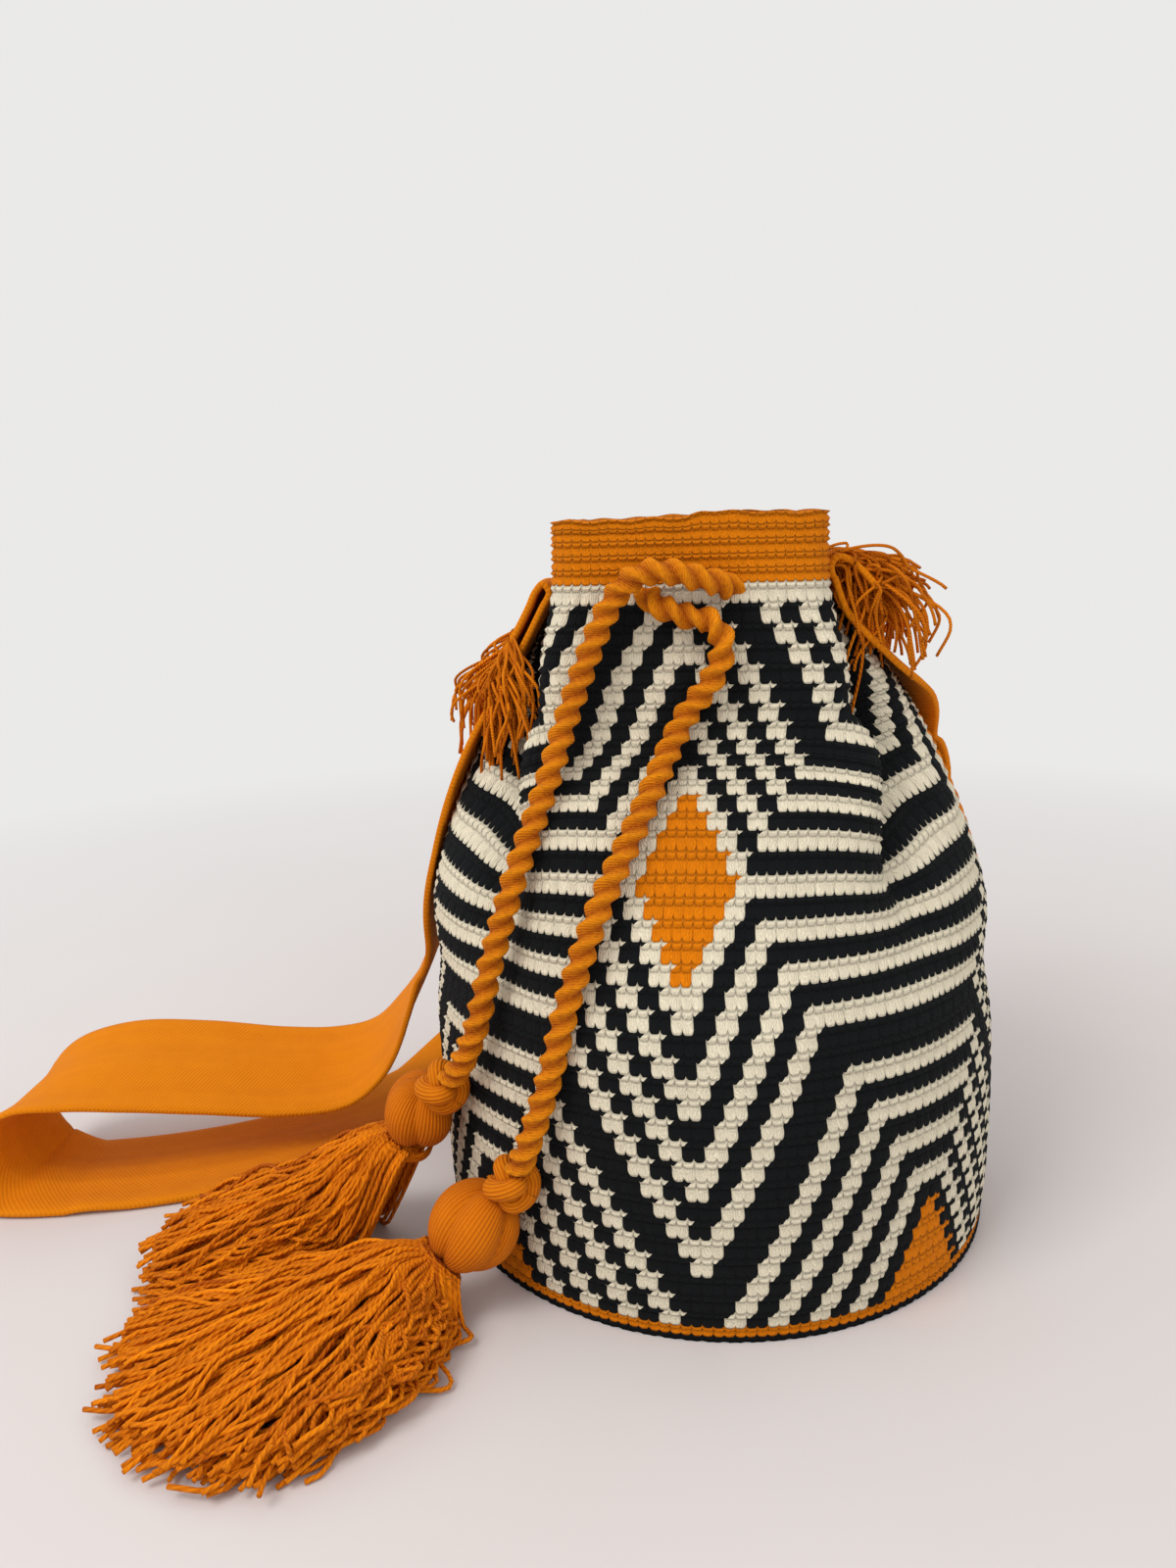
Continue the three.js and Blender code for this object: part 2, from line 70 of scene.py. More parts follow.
def dense_line(points, fine=curve_steps):
    """Fine points on a smooth curve through given ones."""
    points = np.asarray(points, float)
    points = np.vstack([2 * points[0] - points[1], points, 2 * points[-1] - points[-2]])
    line = []
    for a, b, c, d in zip(points, points[1:], points[2:], points[3:]):
        at_b = np.linalg.norm(b - a) ** 0.5
        at_c = at_b + np.linalg.norm(c - b) ** 0.5
        at_d = at_c + np.linalg.norm(d - c) ** 0.5
        t = np.linspace(at_b, at_c, fine, endpoint=False)[:, None]
        ab = (at_b - t) / at_b * a + t / at_b * b
        bc = (at_c - t) / (at_c - at_b) * b + (t - at_b) / (at_c - at_b) * c
        cd = (at_d - t) / (at_d - at_c) * c + (t - at_c) / (at_d - at_c) * d
        abc = (at_c - t) / at_c * ab + t / at_c * bc
        bcd = (at_d - t) / (at_d - at_b) * bc + (t - at_b) / (at_d - at_b) * cd
        line.append((at_c - t) / (at_c - at_b) * abc + (t - at_b) / (at_c - at_b) * bcd)
    line.append(points[-2:-1])
    return np.vstack(line)


def run_of(line):
    """Distance along a line at each of its points."""
    return np.r_[0, np.cumsum(np.linalg.norm(np.diff(line, axis=0), axis=1))]


def evenly(line, steps):
    """The same line in steps of one length."""
    run = run_of(line)
    at = np.linspace(0, run[-1], steps + 1)
    return np.stack([np.interp(at, run, line[:, k]) for k in range(line.shape[1])], 1)


def ease(t):
    """From 0 to 1, slow at both ends."""
    t = np.clip(t, 0, 1)
    return t * t * (3 - 2 * t)


def unit(way):
    """The same way, or ways, with a length of 1."""
    return way / (np.linalg.norm(way, axis=-1, keepdims=True) + 1e-12)


# Outline of the outer skin in millimetres: a round pouch given by height and radius, then
# quarters of the gathered part, each from the front centre (0, -y) to the right side (x, 0).
stitches_round = 92
steps_round = 4 * stitches_round
steps_quarter = stitches_round
pouch = [(0, 103.5), (4, 105), (12, 106), (35, 107), (60, 107.5), (85, 107), (105, 104.5)]
pleated = [
    (124, [(0, -94), (32, -91.5), (54, -82), (64, -73), (72, -65), (88, -52), (101, -29),
           (106, 0)]),
    (148, [(0, -82), (32, -81), (54, -73), (61, -63), (62, -54), (79, -47), (95, -29),
           (100, 0)]),
    (170, [(0, -70), (34, -69.5), (56, -64), (61, -54), (50, -42), (65, -34), (85, -27),
           (92, 0)]),
    (190, [(0, -52), (34, -52), (57, -50), (60, -43), (40, -29), (53, -23), (75, -21),
           (82.5, 0)]),
    (213, [(0, -46.5), (30, -46.5), (50, -45), (53, -38), (21, -16), (20, -11), (40, -15.5),
           (61, -19), (68, 0)]),
    (244, [(0, -45), (26, -45), (43, -43.5), (47, -37), (17, -13), (15.5, -8), (28, -11),
           (43, -18), (48, 0)]),
    (270, [(0, -45.5), (26, -45.5), (42, -44), (46, -38), (17, -13.5), (15.5, -8), (28, -11),
           (42, -18), (47, 0)]),
]
neck_shift = -7.5 * mm

angle = np.linspace(0, math.pi / 2, steps_quarter + 1)
quarters = [np.stack([radius * np.sin(angle), -radius * np.cos(angle)], 1)
            for _, radius in pouch]
for _, outline in pleated:
    outline = np.array(outline, float)
    past_both_ends = np.vstack([outline[1] * (-1, 1), outline, outline[-2] * (1, -1)])
    quarters.append(evenly(dense_line(past_both_ends)[curve_steps:-curve_steps],
                           steps_quarter))
quarters = np.array(quarters) * mm
station = np.array([height for height, _ in pouch + pleated]) * mm
spacing = np.diff(station)[:, None, None]
rises = np.diff(quarters, axis=0) / spacing
slopes = np.concatenate([
    rises[:1],
    (rises[:-1] * spacing[1:] + rises[1:] * spacing[:-1]) / (spacing[1:] + spacing[:-1]),
    rises[-1:]])


def bag_skin(z, turn):
    """Points of the bag's outer side: height, and steps round from the front centre."""
    turn = np.mod(turn, steps_round)
    side = np.floor(turn / steps_quarter)
    part = np.where(side % 2 == 0, turn - side * steps_quarter,
                    (side + 1) * steps_quarter - turn)
    column = np.clip(np.floor(part).astype(int), 0, steps_quarter - 1)
    share = (part - column)[..., None]
    level = np.clip(np.searchsorted(station, z, side="right") - 1, 0, len(station) - 2)
    tall = (station[level + 1] - station[level])[..., None]
    t = (np.clip(z, 0, station[-1]) - station[level])[..., None] / tall

    def pick(values, at):
        return values[at, column] * (1 - share) + values[at, column + 1] * share

    flat = ((2 * t**3 - 3 * t**2 + 1) * pick(quarters, level)
            + (t**3 - 2 * t**2 + t) * tall * pick(slopes, level)
            + (3 * t**2 - 2 * t**3) * pick(quarters, level + 1)
            + (t**3 - t**2) * tall * pick(slopes, level + 1))
    x = flat[..., 0] * np.where(side < 2, 1, -1)
    y = flat[..., 1] * np.where((side == 0) | (side == 3), 1, -1)
    held_back = 1 - 0.55 * ease((np.abs(x) - 0.045) / 0.025)
    lean = neck_shift * ease((z - 0.02) / 0.13) * held_back
    return np.stack([x + lean, y, z], -1)


def worked_skin(name, across, along, place, lay=None):
    """A closed skin: a grid whose points go where place(step across, step along) says."""
    bm = bmesh.new()
    bmesh.ops.create_grid(bm, x_segments=across, y_segments=along, size=0.5)
    mesh = bpy.data.meshes.new(name)
    bm.to_mesh(mesh)
    bm.free()
    flat = np.empty(len(mesh.vertices) * 3)
    mesh.vertices.foreach_get("co", flat)
    flat = flat.reshape(-1, 3)
    i = np.rint((flat[:, 0] + 0.5) * across).astype(int)
    j = np.rint((flat[:, 1] + 0.5) * along).astype(int)
    mesh.vertices.foreach_set("co", place(i, j).astype(np.float32).ravel())
    corner = np.empty(len(mesh.loops), int)
    mesh.loops.foreach_get("vertex_index", corner)
    u, v = lay(i, j) if lay else (i / across, j / along)
    pattern = mesh.uv_layers.new(name="lay")
    pattern.data.foreach_set("uv", np.stack([u[corner], v[corner]], 1).ravel())
    bm = bmesh.new()
    bm.from_mesh(mesh)
    bmesh.ops.remove_doubles(bm, verts=bm.verts, dist=1e-6)
    if bm.calc_volume(signed=True) < 0:
        bmesh.ops.reverse_faces(bm, faces=bm.faces)
    bm.to_mesh(mesh)
    bm.free()
    mesh.shade_smooth()
    piece = bpy.data.objects.new(name, mesh)
    bpy.context.scene.collection.objects.link(piece)
    return piece


def row_height(row, turn):
    """Height of a row: the gathers pull it down in each valley and up on the sides."""
    rows = [0, 1, 2, 3, 5.5, 9.5, 13.5, 17.5, 21.5, 23.5, 25.5, 27.5, 29.5, 30.5, 31.5,
            33.5, 35.5, 37.5, 39.5, 40, 41, 42, 43, 44, 45]
    front = [0.3, 2.4, 5.4, 11, 28.6, 56.2, 84.7, 111.4, 137, 150, 164, 174.5, 183, 186.6,
             190, 202, 215, 228.6, 242.7, 246, 250.8, 255.6, 260.4, 265.2, 270]
    z = np.interp(row, rows, np.array(front) * mm)
    part = np.mod(turn, steps_round) / steps_quarter
    sideways = np.abs(np.mod(part + 1, 2) - 1)
    climb = 0.019 * ease((sideways - 0.46) / 0.5)
    dip = 0.0075 * np.exp(-((sideways - 0.5) / 0.12)**2)
    return z + (climb - dip) * ease((row - 18) / 10) * ease((42 - row) / 12)


def pattern_turn(row):
    """How far, in steps, the worked pattern has crept round from the front centre."""
    return 4 * np.interp(row, [0, 19, 24, 32, 38], [-0.48, -0.5, -0.12, -0.05, -0.3])


# Each row has a ring of points at the foot, the middle and the top of its stitches' legs,
# and one at the ridge over them. Rows count up from the edge of the base, and down under it.
wall = 0.0039
centre_row, top_row, rim_from = -14, 45, 39.9
foot, leg_middle, leg_top, ridge_top = 0.02, 0.32, 0.62, 0.82
base_rows = np.linspace(centre_row, -0.2, 15)
side_rows = np.array([row + part for row in range(top_row)
                      for part in (foot, leg_middle, leg_top, ridge_top)])
lining_rows = np.arange(44.4, 0.3, -1.2)
rings = np.concatenate([base_rows, side_rows, [top_row], lining_rows,
                        [0, -5, -10, centre_row]])
lip = len(base_rows) + len(side_rows)

turn_grid, ring_grid = np.meshgrid(np.arange(steps_round), np.arange(len(rings)))
row_grid = rings[ring_grid]
inside = ring_grid > lip
on_base = row_grid < np.where(inside, 0.5, 0)
in_rim = row_grid > rim_from
moved = turn_grid + pattern_turn(row_grid)
wall_points = bag_skin(row_height(np.maximum(row_grid, 0), moved), moved)

# The last round steps down to where it began, and the rim waves a little.
from_front = (turn_grid + steps_round / 2) % steps_round - steps_round / 2
rim_step = 0.0024 * ease((5 - from_front) / 5) * ease((from_front + 184) / 40)
wall_points[..., 2] -= np.clip((row_grid - 43.4) / 1.6, 0, 1) * rim_step
rim_wave = np.sin(turn_grid * 0.21) + np.sin(turn_grid * 0.087 + 2) + np.sin(turn_grid * 0.7)
wall_points[..., 2] += np.clip((row_grid - 43) / 2, 0, 1) * 0.0004 * rim_wave

# Which way is out, and how far each stitch stands out that way.
leg_relief, ridge_relief, foot_bulge = 0.0012, 0.0013, 0.0016
around = np.roll(wall_points, -1, 1) - np.roll(wall_points, 1, 1)
outward = np.cross(around, np.gradient(wall_points, axis=0))
outward[inside] *= -1
outward[on_base] = (0, 0, -1)
outward = unit(outward)
within = np.mod(turn_grid / 4 + 0.5 * np.mod(np.floor(row_grid), 2), 1)
rounded = np.interp(within, [0, 0.25, 0.5, 0.75, 1], [0.45, 1, 0.85, 1, 0.45])
rounded = np.where(in_rim, 0.8 + 0.2 * rounded, rounded)
stitch_parts = [0, leg_middle, leg_top, ridge_top, 1]
legs = np.interp(np.mod(row_grid, 1), stitch_parts, [0.3, 1, 0.25, 0, 0])
ridge = np.interp(np.mod(row_grid, 1), stitch_parts, [0.2, 0, 0, 1, 0.2])
relief = leg_relief * legs * rounded + ridge_relief * ridge
relief += np.interp(row_grid, [-1, 0, 0.6, 1.4], [0, foot_bulge, foot_bulge, 0])
relief = np.where(in_rim, relief * 1.15, relief)
relief[lip] = 0
relief[inside] = -wall
relief[on_base & ~inside] *= 0.25

base_lift, lip_lift, floor_gap = 0.0011, 0.0016, 0.0002
from_centre = np.where(
    on_base, (np.clip(row_grid, centre_row, 0) - centre_row) / -centre_row, 1)
wall_points[..., :2] *= from_centre[..., None]
wall_points[on_base, 2] = base_lift
wall_points += outward * relief[..., None]
wall_points[lip] = (wall_points[lip - 1] * 0.3 + wall_points[lip + 1] * 0.7
                    + (0, 0, lip_lift))
wall_points[..., 2] = np.maximum(wall_points[..., 2], floor_gap)

lay_start, lay_rows = 16, 64
bag = worked_skin(
    "crocheted_bag", steps_round, len(rings) - 1,
    lambda i, j: wall_points[j, i % steps_round],
    lambda i, j: (i / steps_round, (rings[j] + lay_start) / lay_rows))


class Wire:
    """A number inside a material, with Python's arithmetic."""

    def __init__(self, finish, socket):
        self.finish, self.socket = finish, socket

    def calc(self, operation, *values, clamp=False):
        node = self.finish.add("ShaderNodeMath", dict(operation=operation, use_clamp=clamp),
                               dict(enumerate(values)))
        return Wire(self.finish, node.outputs[0])

    def __add__(self, other):
        return self.calc("ADD", self, other)

    __radd__ = __add__

    def __mul__(self, other):
        return self.calc("MULTIPLY", self, other)

    __rmul__ = __mul__

    def __sub__(self, other):
        return self.calc("SUBTRACT", self, other)

    def __rsub__(self, other):
        return self.calc("SUBTRACT", other, self)

    def __mod__(self, other):
        return self.calc("MODULO", self, other)

    def __gt__(self, other):
        return self.calc("GREATER_THAN", self, other)

    def __lt__(self, other):
        return self.calc("LESS_THAN", self, other)

    def __or__(self, other):
        return self.calc("MAXIMUM", self, other)

    def __abs__(self):
        return self.calc("ABSOLUTE", self)

    def floor(self):
        return self.calc("FLOOR", self)

    def held(self):
        """Kept between 0 and 1."""
        return self.calc("ADD", self, 0, clamp=True)

    def ribs(self):
        """Up to 1 and back to 0 for each whole step."""
        return self.calc("SINE", self * math.tau) * 0.5 + 0.5

    def between(self, low, high):
        return (self > low) * (self < high)


class Finish:
    """A material built from nodes round one Principled shader."""

    def __init__(self, name, roughness=0.85, sheen=0.0):
        self.material = bpy.data.materials.new(name)
        self.material.use_nodes = True
        self.tree = self.material.node_tree
        self.shader = self.tree.nodes["Principled BSDF"]
        self.shader.inputs["Roughness"].default_value = roughness
        self.shader.inputs["Sheen Weight"].default_value = sheen
        self.shader.inputs["Sheen Roughness"].default_value = 0.6
        self.shader.inputs["Specular IOR Level"].default_value = 0.12

    def add(self, kind, settings=None, sockets=None):
        """Any node: its type, its settings, and the values or links of its sockets."""
        node = self.tree.nodes.new(kind)
        for name, value in (settings or {}).items():
            setattr(node, name, value)
        for name, value in (sockets or {}).items():
            if isinstance(value, Wire):
                value = value.socket
            if isinstance(value, bpy.types.NodeSocket):
                self.tree.links.new(value, node.inputs[name])
            else:
                node.inputs[name].default_value = value
        return node

    def lay(self):
        """The piece's own pattern coordinates, as two numbers."""
        place = self.add("ShaderNodeUVMap", dict(uv_map="lay")).outputs[0]
        parts = self.add("ShaderNodeSeparateXYZ", None, {0: place})
        return Wire(self, parts.outputs[0]), Wire(self, parts.outputs[1])

    def here(self):
        return self.add("ShaderNodeTexCoord").outputs["Object"]

    def vector(self, x, y):
        return self.add("ShaderNodeCombineXYZ", None, {0: x, 1: y}).outputs[0]

    def noise(self, place, scale, detail):
        node = self.add("ShaderNodeTexNoise", None,
                        {"Vector": place, "Scale": scale, "Detail": detail})
        return Wire(self, node.outputs[0])

    def mix(self, share, one, two, blend="MIX"):
        node = self.add("ShaderNodeMix", dict(data_type="RGBA", blend_type=blend),
                        {0: share, 6: one, 7: two})
        return node.outputs[2]

    def colour(self, socket):
        self.tree.links.new(socket, self.shader.inputs["Base Color"])

    def bump(self, height, distance, strength=0.8):
        node = self.add("ShaderNodeBump", None,
                        {"Strength": strength, "Distance": distance, "Height": height})
        self.tree.links.new(node.outputs[0], self.shader.inputs["Normal"])


def dyed(hex_colour):
    """A dye's linear colour, from its sRGB value."""
    parts = [int(hex_colour[k:k + 2], 16) / 255 for k in (0, 2, 4)]
    return [c / 12.92 if c <= 0.04045 else ((c + 0.055) / 1.055) ** 2.4 for c in parts] + [1]


def dress(piece, finish, node):
    """Gives a piece its finish, joins it to the root body, and lets it stand for its plain
    solid.
    """
    piece.data.materials.append(finish.material)
    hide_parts(node)
    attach(piece, "root")


black_yarn, cream_yarn, orange_yarn = dyed("0F1113"), dyed("DDD3BB"), dyed("D67602")
crochet = Finish("crocheted_cotton", 0.9, 0.01)
u, v = crochet.lay()
stitch = u * stitches_round
height = v * lay_rows - lay_start

# Which stitch a point is in: each row starts half a stitch on, and its upper edge is ragged
# where the next row's stitches reach down into it.
leg_gap = abs((stitch * 2) % 1 * 2 - 1)
reach_down = leg_gap * leg_gap * leg_gap * leg_gap * leg_gap * 0.2
raised = height + (lay_start + foot) - reach_down
whole_row = raised.floor()
up = raised - whole_row
row = whole_row - lay_start
odd = (whole_row + 0.5) % 2 > 1
on_ridge = ((up - 0.68) * 3.2).held()
leaning = stitch + stitches_round / 2 - on_ridge * 0.3
middle = (leaning + odd * 0.5).floor() + 0.5 - odd * 0.5

# The worked pattern, four times round: nested lozenges of level lines and stepped slants
# about a centre column, with an orange heart and orange peaks between at the base.
repeat = stitches_round / 4
away = abs((middle + repeat / 2) % repeat - repeat / 2) * 2
down = 39 - row
level = abs(down - 16) + 16
slant = away + level
steep, shallow = level - away > 9.5, level - away < 10.5
steps = (slant.between(21.5, 34.5) * ((slant + 2.5) % 4 < 1)
         | slant.between(39.5, 52.5) * ((slant + 0.5) % 4 < 1)) * steep
lines = ((level < 22.5) * ((level + 0.5) % 2 < 1)
         | level.between(24.5, 31.5) * ((level + 1.5) % 2 < 1)) * shallow
cream = (steps | lines) * row.between(1.5, 38.5) | row.between(38.5, 39.5)
peaks = (down > 32.5) * (away + down > 55.5) * (row > 1.5)
orange = (slant < 20.5) | peaks | (row > 39.5) | row.between(0.5, 1.5) | (row < -7.5)

# The form of each stitch, its yarn's ply and fluff, and how deep each place lies. The deep
# places, under each ridge and between the legs, are darkened in the colour: painted shade.
stitch_edge = abs((stitch + stitches_round / 2 + odd * 0.5) % 1 * 2 - 1)
stitch_edge = stitch_edge * stitch_edge * stitch_edge * (1 - (height > 39.98) * 0.75)
leg = (1 - leg_gap * leg_gap * 0.2 - stitch_edge * 0.45) * ((up * 8 + 0.25).held())
leg = leg * (1 - ((up - 0.54) * 8).held())
roll = 1 - abs((up - ridge_top) * 5).held()
form = leg | roll
wobble = crochet.noise(crochet.vector(stitch * 0.7, height * 0.7), 2.0, 2)
leg_ply = (stitch * 7 + height * 0.8 + wobble * 5).ribs()
ridge_ply = (height * 9 - stitch * 2.2 + wobble * 4).ribs()
ply = leg_ply * (1 - on_ridge) + ridge_ply * on_ridge
fluff = crochet.noise(crochet.vector(stitch * 5, height * 4), 3.0, 4)
patch = crochet.noise(crochet.here(), 30, 3)
# Painted shade: the deeper a place lies, the darker its colour; ply, fluff and patch vary the
# tone.
deep = 1 - (form * 1.7).held()
light = (1.04 - deep * 0.55 + (ply - 0.5) * 0.14 + (fluff - 0.5) * 0.22
         + (patch - 0.5) * 0.22)
grey = crochet.add("ShaderNodeCombineColor", None, {0: light, 1: light, 2: light}).outputs[0]
worked = crochet.mix(orange, crochet.mix(cream, black_yarn, cream_yarn), orange_yarn)
crochet.colour(crochet.mix(1.0, worked, grey, "MULTIPLY"))
crochet.bump(form * 0.8 + ply * 0.18 + fluff * 0.35, 0.0012, 0.9)
dress(bag, crochet, "bag_body")


# The drawcord: two thick strands of orange yarn laid into one cord. It goes in and out of
# the eyelets in the pale row, round inside the pleats, and is half knotted in front.
cord_route = np.array([
    (-92, -74.8, 77), (-87, -80, 84), (-79, -85, 103), (-74, -82.5, 123),
    (-66, -78.5, 150), (-55.3, -66, 180.8), (-47.5, -56.5, 206), (-37.5, -54, 232),
    (-31.5, -54.5, 243), (-24, -57, 249.5), (-15, -57.5, 250.5), (-6, -55.5, 248.5),
    (1, -52.5, 246.5), (6.5, -45.5, 244.5), (11, -38, 244),
    (18, -35.3, 244), (23, -32, 244), (26, -25, 244), (26, 0, 244), (26, 25, 244),
    (22, 33, 244), (12, 36, 244), (-7.5, 36.3, 244), (-27, 36, 244), (-37, 33, 244),
    (-41, 25, 244), (-41, 0, 244), (-41, -25, 244), (-38, -32, 244), (-33, -35.3, 244),
    (-26, -38, 243.5), (-21.5, -45.5, 242), (-16, -51.3, 238.5), (-8, -51.8, 235.5),
    (0, -53, 233.5), (4, -53.8, 226), (0.5, -53.8, 215), (-8.5, -54.5, 202),
    (-22.8, -75, 172.9), (-36.6, -91, 144.2), (-46, -98.8, 117.1), (-53, -101, 90.4),
    (-61, -101, 66), (-65, -97.3, 55.8)]) * mm
cord_line = dense_line(cord_route)
cord_length = run_of(cord_line)[-1]
twist_length = 0.0148
cord_turns = cord_length / twist_length
cord_reach = 0.0047


def square_to(way, guide):
    """Two ways, or arrays of ways, square to a way and to each other."""
    one = unit(np.cross(way, guide))
    return one, np.cross(way, one)


def swept(name, line, sides, radius, turns=0.0, strands_of=None):
    """A closed tube along a line; strands_of shapes its section by angle, as a share."""
    along = unit(np.gradient(line, axis=0))
    across = np.empty_like(along)
    across[0] = square_to(along[0], (0.3, 0.5, 0.8))[0]
    for k in range(1, len(line)):
        across[k] = unit(across[k - 1] - along[k] * (across[k - 1] @ along[k]))
    out = np.cross(along, across)
    count = len(line)

    def place(i, j):
        k = np.clip(j - 1, 0, count - 1)
        angle = math.tau * (i % sides) / sides
        size = radius * (strands_of(angle) if strands_of else 1.0)
        size = np.where((j == 0) | (j == count + 1), 0, size)
        spin = angle + math.tau * turns * k / (count - 1)
        return (line[k] + across[k] * (size * np.cos(spin))[:, None]
                + out[k] * (size * np.sin(spin))[:, None])

    return worked_skin(name, sides, count + 1, place)


drawcord = swept(
    "two_strand_cord", evenly(cord_line, 1300), 20, cord_reach, cord_turns,
    lambda angle: 0.8 + 0.2 * np.cos(2 * angle) + 0.02 * np.cos(4 * angle))
laid = Finish("laid_orange_yarn", 0.85, 0.01)
u, v = laid.lay()
# Painted light and shade: each strand is lighter on its crown and darker in the groove
# between the two strands.
crown_light_groove_shade = abs((u * 4 % 2) - 1)
ply = (u * 10 - v * (cord_turns * 9)).ribs()
fluff = laid.noise(laid.vector(u * 24, v * 900), 1.0, 4)
patch = laid.noise(laid.here(), 60, 3)
share = (crown_light_groove_shade * 0.75 + ply * 0.2 + fluff * 1.0 + (patch - 0.5) * 0.4 - 0.45).held()
laid.colour(laid.mix(share, dyed("983F00"), dyed("EB8D0A")))
laid.bump(ply * 0.4 + fluff * 0.9, 0.0007, 0.9)
dress(drawcord, laid, "drawcord")


# The two tassels: each cord end is plaited into a small knot, under which a hank of
# orange thread is folded over to a round head, bound with more thread at its neck, and
# left loose below. They lie on the floor to the left of the bag.
fit = 0.0003
seat = 0.0006
knot_length = 0.0144
thread_radius = 0.0008
longest_reach = 0.146

plaited = Finish("plaited_yarn", 0.85, 0.01)
u, v = plaited.lay()
ply = (u * 14 + v * 11).ribs()
fluff = plaited.noise(plaited.vector(u * 20, v * 60), 1.0, 3)
patch = plaited.noise(plaited.here(), 90, 3)
share = (ply * 0.4 + fluff * 0.4 + patch * 0.45 - 0.1).held()
plaited.colour(plaited.mix(share, dyed("A04500"), dyed("E98808")))
plaited.bump(ply * 0.7 + fluff * 0.4, 0.0006)

wound = Finish("wound_thread", 0.85, 0.01)
u, v = wound.lay()
turns = (u * 62 + v * 5).ribs()
bead = wound.noise(wound.vector(u * 62, v * 90), 1.0, 3)
patch = wound.noise(wound.here(), 90, 3)
share = (turns * 0.4 + bead * 0.4 + patch * 0.45 - 0.06).held()
wound.colour(wound.mix(share, dyed("A84B00"), dyed("E07C04")))
wound.bump(turns * 0.7 + bead * 0.4, 0.0006)

# On loose thread, the whole part of the pattern coordinate is the thread's own number.
thread = Finish("tassel_thread", 0.88, 0.01)
u, v = thread.lay()
ply = (v * 46 + u * 2).ribs()
single = thread.noise(thread.vector(u.floor() * 0.73, u.floor() * 1.37), 1.0, 0)
patch = thread.noise(thread.here(), 90, 3)
share = (ply * 0.3 + patch * 0.4 + (single - 0.5) * 1.1 + 0.18).held()
thread.colour(thread.mix(share, dyed("A04500"), dyed("F08A08")))
thread.bump(ply, 0.00045, 0.7)


def knot_of(name, start, leaving):
    """The plaited knot: one thick yarn led round itself three times."""
    one, two = square_to(leaving, (0.2, 0.9, 0.1))
    t = np.linspace(0, math.tau, 181)
    ring = 0.0044 + 0.0022 * np.cos(3 * t)
    middle = start + leaving * knot_length / 2
    loop = (middle + np.outer(ring * np.cos(2 * t), one) + np.outer(ring * np.sin(2 * t), two)
            + np.outer(0.0042 * np.sin(3 * t), leaving))
    return swept(name, loop, 16, 0.0034)


def head_of(name, centre, down, radius):
    """The round head, drawn in where its four bundles of thread meet."""
    one, two = square_to(down, (0, 0, 1))
    meridians, parallels = 96, 36

    def place(i, j):
        angle = math.tau * (i % meridians) / meridians
        rise = math.pi * (j / parallels - 0.5)
        bundle = np.abs(np.sin(2 * angle + 0.8 * rise + 1.0))**0.7
        size = radius * (1.01 - 0.2 * (1 - bundle) * np.cos(rise)**0.5)
        return (centre + np.outer(size * np.sin(rise) * 1.03, down)
                + np.outer(size * np.cos(rise) * np.cos(angle), one)
                + np.outer(size * np.cos(rise) * np.sin(angle), two))

    return worked_skin(name, meridians, parallels, place)


def binding_of(name, mouth, down):
    """Four turns of thread round the neck."""
    one, two = square_to(down, (0, 0, 1))
    t = np.linspace(0, 1, 140)
    around = 4 * math.tau * t
    coil = (mouth + np.outer(0.001 + 0.0032 * t, down)
            + np.outer(0.0086 * np.cos(around), one) + np.outer(0.0086 * np.sin(around), two))
    return swept(name, coil, 8, 0.00085)


def strands(name, lines, radius, sides=6):
    """Many loose threads as one piece: lines is threads x points x 3."""
    count = lines.shape[1]
    period = count + 2
    along = unit(np.gradient(lines, axis=1))
    across, out = square_to(along, (0.13, 0.21, 0.97))

    def place(i, j):
        number, k = j // period, j % period
        size = np.where((k == 0) | (k == period - 1), 0, radius)
        angle = math.tau * (i % sides) / sides
        k = np.clip(k - 1, 0, count - 1)
        return (lines[number, k] + across[number, k] * (size * np.cos(angle))[:, None]
                + out[number, k] * (size * np.sin(angle))[:, None])

    def lay(i, j):
        return i / sides * 0.96 + 0.02 + j // period, (j % period) / period

    return worked_skin(name, sides, len(lines) * period - 1, place, lay)


